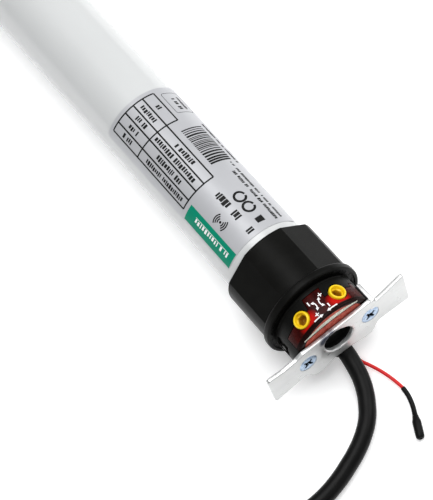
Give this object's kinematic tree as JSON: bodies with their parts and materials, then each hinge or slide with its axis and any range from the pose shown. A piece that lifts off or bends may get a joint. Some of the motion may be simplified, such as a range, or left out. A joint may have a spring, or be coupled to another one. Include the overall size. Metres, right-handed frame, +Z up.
{
  "type": "roller shutter motor",
  "caption": "Tubular motor for a roller shutter: fixed head with bracket, limit screws and lead, rotating crown, white tube and octagonal drive wheel.",
  "frame": {"origin": "under the middle of the motor, on the surface that the crown flange lies on, without the free leads", "axes": "+X along the tube's axis towards the head and its bracket, +Y along one ear of the bracket, +Z up, over the limit screws"},
  "size_m": [0.6636, 0.1181, 0.0427],
  "materials": {
    "zinc_plate": "bright zinc plated sheet",
    "zinc_screw": "blue passivated zinc",
    "black_plastic": "satin moulded",
    "red_cover": "dark translucent red",
    "yellow_plastic": "satin moulded",
    "white_coat": "glossy powder coat",
    "label_film": "silver printed film",
    "natural_plastic": "moulded",
    "gear_plastic": "acetal",
    "board": "solder mask",
    "relay_blue": "moulded",
    "capacitor_white": "moulded can",
    "cast_aluminium": "die cast",
    "steel": "machined",
    "lamination": "stacked sheet",
    "copper": "enamelled wire",
    "bronze": "sintered",
    "friction": "friction lining",
    "cable_black": "satin sheath",
    "aerial_red": "insulation",
    "core_brown": "insulation",
    "core_blue": "insulation",
    "core_green": "insulation"
  },
  "bodies": {
    "motor_body": {"bracket_plate": "zinc_plate", "bracket_screw_left": "zinc_screw", "bracket_screw_right": "zinc_screw", "head_body": "black_plastic", "limit_cover": "red_cover", "cable_connector": "black_plastic", "limit_frame": "natural_plastic", "limit_switch_up": "black_plastic", "limit_switch_down": "black_plastic", "gear_plate": "natural_plastic", "motor_tube": "white_coat", "rating_label": "label_film", "receiver_board": "board", "radio_module": "steel", "relay_up": "relay_blue", "relay_down": "relay_blue", "motor_capacitor": "capacitor_white", "front_end_shield": "cast_aluminium", "front_bearing": "steel", "stator_core": "lamination", "winding_front": "copper", "winding_rear": "copper", "rear_end_shield": "cast_aluminium", "rear_bearing": "steel", "brake_spring": "steel", "gearbox_flange": "cast_aluminium", "ring_gear": "natural_plastic", "output_end_cap": "cast_aluminium", "output_bushing": "bronze", "power_cable": "cable_black", "power_cable_coil": "cable_black", "cable_tail": "cable_black", "core_brown": "core_brown", "core_blue": "core_blue", "core_green": "core_green", "antenna_wire": "aerial_red", "antenna_tip": "cable_black"},
    "crown": {"drive_crown": "black_plastic", "crown_gear_ring": "gear_plastic"},
    "limit_pinion_shaft": {"limit_pinion": "gear_plastic"},
    "counter_shaft": {"limit_counter_gear": "gear_plastic"},
    "adjuster_up_screw": {"adjuster_up": "yellow_plastic"},
    "adjuster_down_screw": {"adjuster_down": "yellow_plastic"},
    "cam_up_wheel": {"limit_cam_up": "gear_plastic"},
    "cam_down_wheel": {"limit_cam_down": "gear_plastic"},
    "rotor": {"rotor_core": "lamination", "rotor_shaft": "steel", "brake_disc": "friction"},
    "brake_plate": {"brake_armature": "steel"},
    "first_carrier": {"carrier_1": "steel"},
    "output": {"carrier_2": "steel", "drive_wheel": "black_plastic", "retaining_clip": "steel"},
    "planet_1a_gear": {"planet_1_a": "gear_plastic"},
    "planet_1b_gear": {"planet_1_b": "gear_plastic"},
    "planet_1c_gear": {"planet_1_c": "gear_plastic"},
    "planet_2a_gear": {"planet_2_a": "gear_plastic"},
    "planet_2b_gear": {"planet_2_b": "gear_plastic"},
    "planet_2c_gear": {"planet_2_c": "gear_plastic"}
  },
  "joints": [
    {"name": "crown_spin", "type": "hinge", "parent": "motor_body", "child": "crown", "pos_m": [0.22, 0, 0.02135], "axis": [1, 0, 0], "continuous": true},
    {"name": "limit_pinion_spin", "type": "hinge", "parent": "motor_body", "child": "limit_pinion_shaft", "pos_m": [0.2255, 0, 0.00935], "axis": [1, 0, 0], "continuous": true},
    {"name": "counter_spin", "type": "hinge", "parent": "motor_body", "child": "counter_shaft", "pos_m": [0.2145, 0, 0.01635], "axis": [1, 0, 0], "continuous": true},
    {"name": "adjuster_up_spin", "type": "hinge", "parent": "motor_body", "child": "adjuster_up_screw", "pos_m": [0.2417, 0, 0.02135], "axis": [0, 0.4695, 0.8829], "continuous": true},
    {"name": "cam_up_spin", "type": "hinge", "parent": "motor_body", "child": "cam_up_wheel", "pos_m": [0.2357, 0, 0.02135], "axis": [0, 0.4695, 0.8829], "continuous": true},
    {"name": "adjuster_down_spin", "type": "hinge", "parent": "motor_body", "child": "adjuster_down_screw", "pos_m": [0.2417, 0, 0.02135], "axis": [0, -0.4695, 0.8829], "continuous": true},
    {"name": "cam_down_spin", "type": "hinge", "parent": "motor_body", "child": "cam_down_wheel", "pos_m": [0.2357, 0, 0.02135], "axis": [0, -0.4695, 0.8829], "continuous": true},
    {"name": "rotor_spin", "type": "hinge", "parent": "motor_body", "child": "rotor", "pos_m": [-0.026, 0, 0.02135], "axis": [1, 0, 0], "continuous": true},
    {"name": "brake_release", "type": "slide", "parent": "motor_body", "child": "brake_plate", "axis": [1, 0, 0], "range_m": [0, 0.0005], "stiffness_N_per_m": 1000, "springref_m": -0.0005},
    {"name": "carrier_1_spin", "type": "hinge", "parent": "motor_body", "child": "first_carrier", "pos_m": [-0.134, 0, 0.02135], "axis": [1, 0, 0], "continuous": true},
    {"name": "output_spin", "type": "hinge", "parent": "motor_body", "child": "output", "pos_m": [-0.23, 0, 0.02135], "axis": [1, 0, 0], "continuous": true},
    {"name": "planet_1a_spin", "type": "hinge", "parent": "first_carrier", "child": "planet_1a_gear", "pos_m": [-0.124, 0.00778, 0.02135], "axis": [1, 0, 0], "continuous": true},
    {"name": "planet_1b_spin", "type": "hinge", "parent": "first_carrier", "child": "planet_1b_gear", "pos_m": [-0.124, -0.00389, 0.02809], "axis": [1, 0, 0], "continuous": true},
    {"name": "planet_1c_spin", "type": "hinge", "parent": "first_carrier", "child": "planet_1c_gear", "pos_m": [-0.124, -0.00389, 0.01461], "axis": [1, 0, 0], "continuous": true},
    {"name": "planet_2a_spin", "type": "hinge", "parent": "output", "child": "planet_2a_gear", "pos_m": [-0.15, 0.00778, 0.02135], "axis": [1, 0, 0], "continuous": true},
    {"name": "planet_2b_spin", "type": "hinge", "parent": "output", "child": "planet_2b_gear", "pos_m": [-0.15, -0.00389, 0.02809], "axis": [1, 0, 0], "continuous": true},
    {"name": "planet_2c_spin", "type": "hinge", "parent": "output", "child": "planet_2c_gear", "pos_m": [-0.15, -0.00389, 0.01461], "axis": [1, 0, 0], "continuous": true}
  ],
  "couplings": [
    {"joint": "limit_pinion_spin", "follows": "crown_spin", "ratio": 3.4},
    {"joint": "counter_spin", "follows": "crown_spin", "ratio": -1.36},
    {"joint": "cam_up_spin", "follows": "adjuster_up_spin", "ratio": -0.5},
    {"joint": "cam_down_spin", "follows": "adjuster_down_spin", "ratio": -0.5},
    {"joint": "carrier_1_spin", "follows": "rotor_spin", "ratio": 0.1},
    {"joint": "output_spin", "follows": "rotor_spin", "ratio": 0.01},
    {"joint": "planet_1a_spin", "follows": "rotor_spin", "ratio": -0.225},
    {"joint": "planet_1b_spin", "follows": "rotor_spin", "ratio": -0.225},
    {"joint": "planet_1c_spin", "follows": "rotor_spin", "ratio": -0.225},
    {"joint": "planet_2a_spin", "follows": "rotor_spin", "ratio": -0.0225},
    {"joint": "planet_2b_spin", "follows": "rotor_spin", "ratio": -0.0225},
    {"joint": "planet_2c_spin", "follows": "rotor_spin", "ratio": -0.0225}
  ]
}
